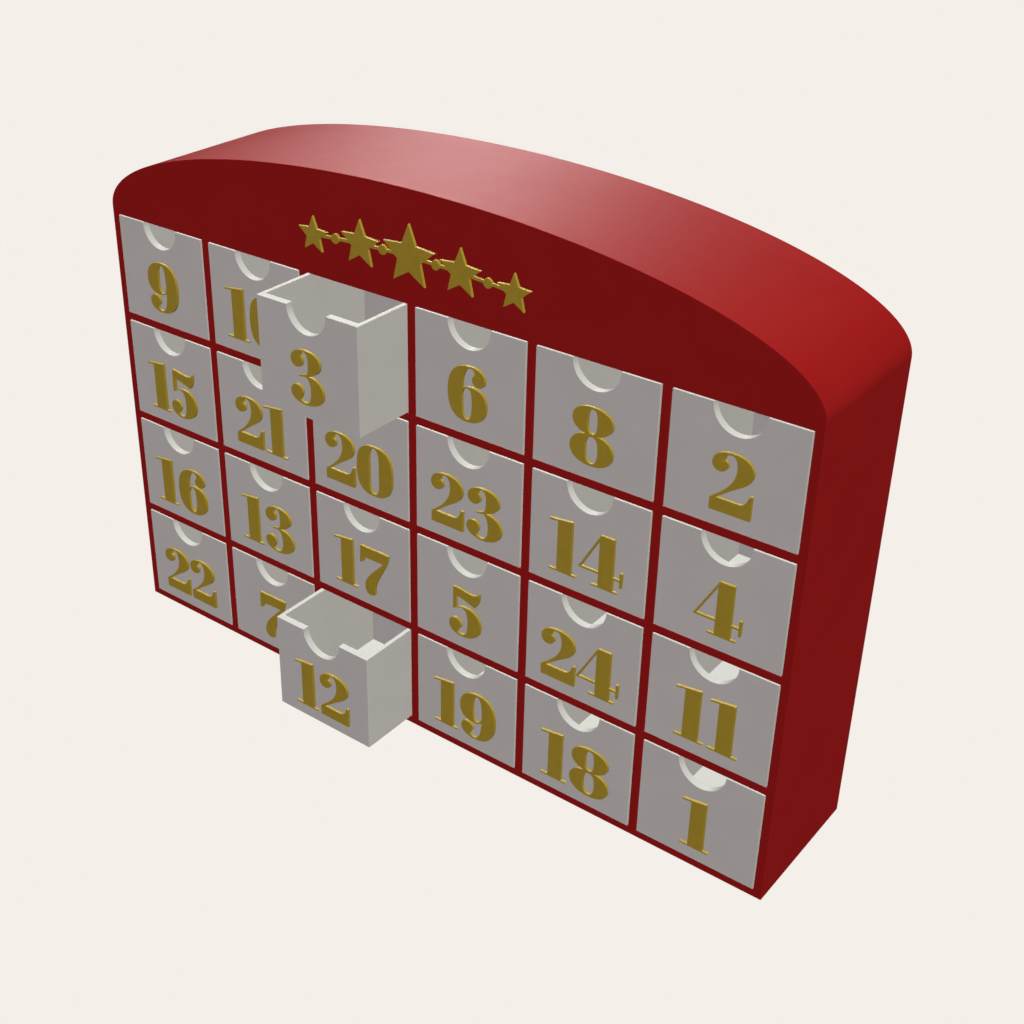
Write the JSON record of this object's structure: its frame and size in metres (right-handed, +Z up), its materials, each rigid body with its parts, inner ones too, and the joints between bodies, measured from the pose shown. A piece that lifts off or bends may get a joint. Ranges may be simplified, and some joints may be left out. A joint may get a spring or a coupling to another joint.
{
  "type": "advent calendar cabinet",
  "caption": "Red arched cabinet of small off-white numbered drawers, each with a finger notch, for counting down to a holiday.",
  "frame": {"origin": "middle of the case's underside, on the surface that it stands on; the pulled-out drawers don't count", "axes": "+X to the right as seen from the front, +Y from the front to the back, +Z up"},
  "size_m": [0.3296, 0.0918, 0.2369],
  "materials": {
    "cabinet_paint": "satin paint",
    "drawer_paint": "matt paint",
    "number_gold": "satin gold"
  },
  "bodies": {
    "cabinet": {"cabinet_shell": "cabinet_paint", "arch_header": "cabinet_paint", "back_panel": "cabinet_paint", "shelf_1": "cabinet_paint", "shelf_2": "cabinet_paint", "shelf_3": "cabinet_paint", "divider_1": "cabinet_paint", "divider_2": "cabinet_paint", "divider_3": "cabinet_paint", "divider_4": "cabinet_paint", "divider_5": "cabinet_paint", "arch_garland": "number_gold"},
    "drawer_01_body": {"drawer_01": "drawer_paint", "number_01": "number_gold"},
    "drawer_02_body": {"drawer_02": "drawer_paint", "number_02": "number_gold"},
    "drawer_03_body": {"drawer_03": "drawer_paint", "number_03": "number_gold"},
    "drawer_04_body": {"drawer_04": "drawer_paint", "number_04": "number_gold"},
    "drawer_05_body": {"drawer_05": "drawer_paint", "number_05": "number_gold"},
    "drawer_06_body": {"drawer_06": "drawer_paint", "number_06": "number_gold"},
    "drawer_07_body": {"drawer_07": "drawer_paint", "number_07": "number_gold"},
    "drawer_08_body": {"drawer_08": "drawer_paint", "number_08": "number_gold"},
    "drawer_09_body": {"drawer_09": "drawer_paint", "number_09": "number_gold"},
    "drawer_10_body": {"drawer_10": "drawer_paint", "number_10": "number_gold"},
    "drawer_11_body": {"drawer_11": "drawer_paint", "number_11": "number_gold"},
    "drawer_12_body": {"drawer_12": "drawer_paint", "number_12": "number_gold"},
    "drawer_13_body": {"drawer_13": "drawer_paint", "number_13": "number_gold"},
    "drawer_14_body": {"drawer_14": "drawer_paint", "number_14": "number_gold"},
    "drawer_15_body": {"drawer_15": "drawer_paint", "number_15": "number_gold"},
    "drawer_16_body": {"drawer_16": "drawer_paint", "number_16": "number_gold"},
    "drawer_17_body": {"drawer_17": "drawer_paint", "number_17": "number_gold"},
    "drawer_18_body": {"drawer_18": "drawer_paint", "number_18": "number_gold"},
    "drawer_19_body": {"drawer_19": "drawer_paint", "number_19": "number_gold"},
    "drawer_20_body": {"drawer_20": "drawer_paint", "number_20": "number_gold"},
    "drawer_21_body": {"drawer_21": "drawer_paint", "number_21": "number_gold"},
    "drawer_22_body": {"drawer_22": "drawer_paint", "number_22": "number_gold"},
    "drawer_23_body": {"drawer_23": "drawer_paint", "number_23": "number_gold"},
    "drawer_24_body": {"drawer_24": "drawer_paint", "number_24": "number_gold"}
  },
  "joints": [
    {"name": "drawer_01_slide", "type": "slide", "parent": "cabinet", "child": "drawer_01_body", "axis": [0, -1, 0], "range_m": [0, 0.05]},
    {"name": "drawer_02_slide", "type": "slide", "parent": "cabinet", "child": "drawer_02_body", "axis": [0, -1, 0], "range_m": [0, 0.05]},
    {"name": "drawer_03_slide", "type": "slide", "parent": "cabinet", "child": "drawer_03_body", "axis": [0, -1, 0], "range_m": [-0.027, 0.023]},
    {"name": "drawer_04_slide", "type": "slide", "parent": "cabinet", "child": "drawer_04_body", "axis": [0, -1, 0], "range_m": [0, 0.05]},
    {"name": "drawer_05_slide", "type": "slide", "parent": "cabinet", "child": "drawer_05_body", "axis": [0, -1, 0], "range_m": [0, 0.05]},
    {"name": "drawer_06_slide", "type": "slide", "parent": "cabinet", "child": "drawer_06_body", "axis": [0, -1, 0], "range_m": [0, 0.05]},
    {"name": "drawer_07_slide", "type": "slide", "parent": "cabinet", "child": "drawer_07_body", "axis": [0, -1, 0], "range_m": [0, 0.05]},
    {"name": "drawer_08_slide", "type": "slide", "parent": "cabinet", "child": "drawer_08_body", "axis": [0, -1, 0], "range_m": [0, 0.05]},
    {"name": "drawer_09_slide", "type": "slide", "parent": "cabinet", "child": "drawer_09_body", "axis": [0, -1, 0], "range_m": [0, 0.05]},
    {"name": "drawer_10_slide", "type": "slide", "parent": "cabinet", "child": "drawer_10_body", "axis": [0, -1, 0], "range_m": [0, 0.05]},
    {"name": "drawer_11_slide", "type": "slide", "parent": "cabinet", "child": "drawer_11_body", "axis": [0, -1, 0], "range_m": [0, 0.05]},
    {"name": "drawer_12_slide", "type": "slide", "parent": "cabinet", "child": "drawer_12_body", "axis": [0, -1, 0], "range_m": [-0.027, 0.023]},
    {"name": "drawer_13_slide", "type": "slide", "parent": "cabinet", "child": "drawer_13_body", "axis": [0, -1, 0], "range_m": [0, 0.05]},
    {"name": "drawer_14_slide", "type": "slide", "parent": "cabinet", "child": "drawer_14_body", "axis": [0, -1, 0], "range_m": [0, 0.05]},
    {"name": "drawer_15_slide", "type": "slide", "parent": "cabinet", "child": "drawer_15_body", "axis": [0, -1, 0], "range_m": [0, 0.05]},
    {"name": "drawer_16_slide", "type": "slide", "parent": "cabinet", "child": "drawer_16_body", "axis": [0, -1, 0], "range_m": [0, 0.05]},
    {"name": "drawer_17_slide", "type": "slide", "parent": "cabinet", "child": "drawer_17_body", "axis": [0, -1, 0], "range_m": [0, 0.05]},
    {"name": "drawer_18_slide", "type": "slide", "parent": "cabinet", "child": "drawer_18_body", "axis": [0, -1, 0], "range_m": [0, 0.05]},
    {"name": "drawer_19_slide", "type": "slide", "parent": "cabinet", "child": "drawer_19_body", "axis": [0, -1, 0], "range_m": [0, 0.05]},
    {"name": "drawer_20_slide", "type": "slide", "parent": "cabinet", "child": "drawer_20_body", "axis": [0, -1, 0], "range_m": [0, 0.05]},
    {"name": "drawer_21_slide", "type": "slide", "parent": "cabinet", "child": "drawer_21_body", "axis": [0, -1, 0], "range_m": [0, 0.05]},
    {"name": "drawer_22_slide", "type": "slide", "parent": "cabinet", "child": "drawer_22_body", "axis": [0, -1, 0], "range_m": [0, 0.05]},
    {"name": "drawer_23_slide", "type": "slide", "parent": "cabinet", "child": "drawer_23_body", "axis": [0, -1, 0], "range_m": [0, 0.05]},
    {"name": "drawer_24_slide", "type": "slide", "parent": "cabinet", "child": "drawer_24_body", "axis": [0, -1, 0], "range_m": [0, 0.05]}
  ]
}
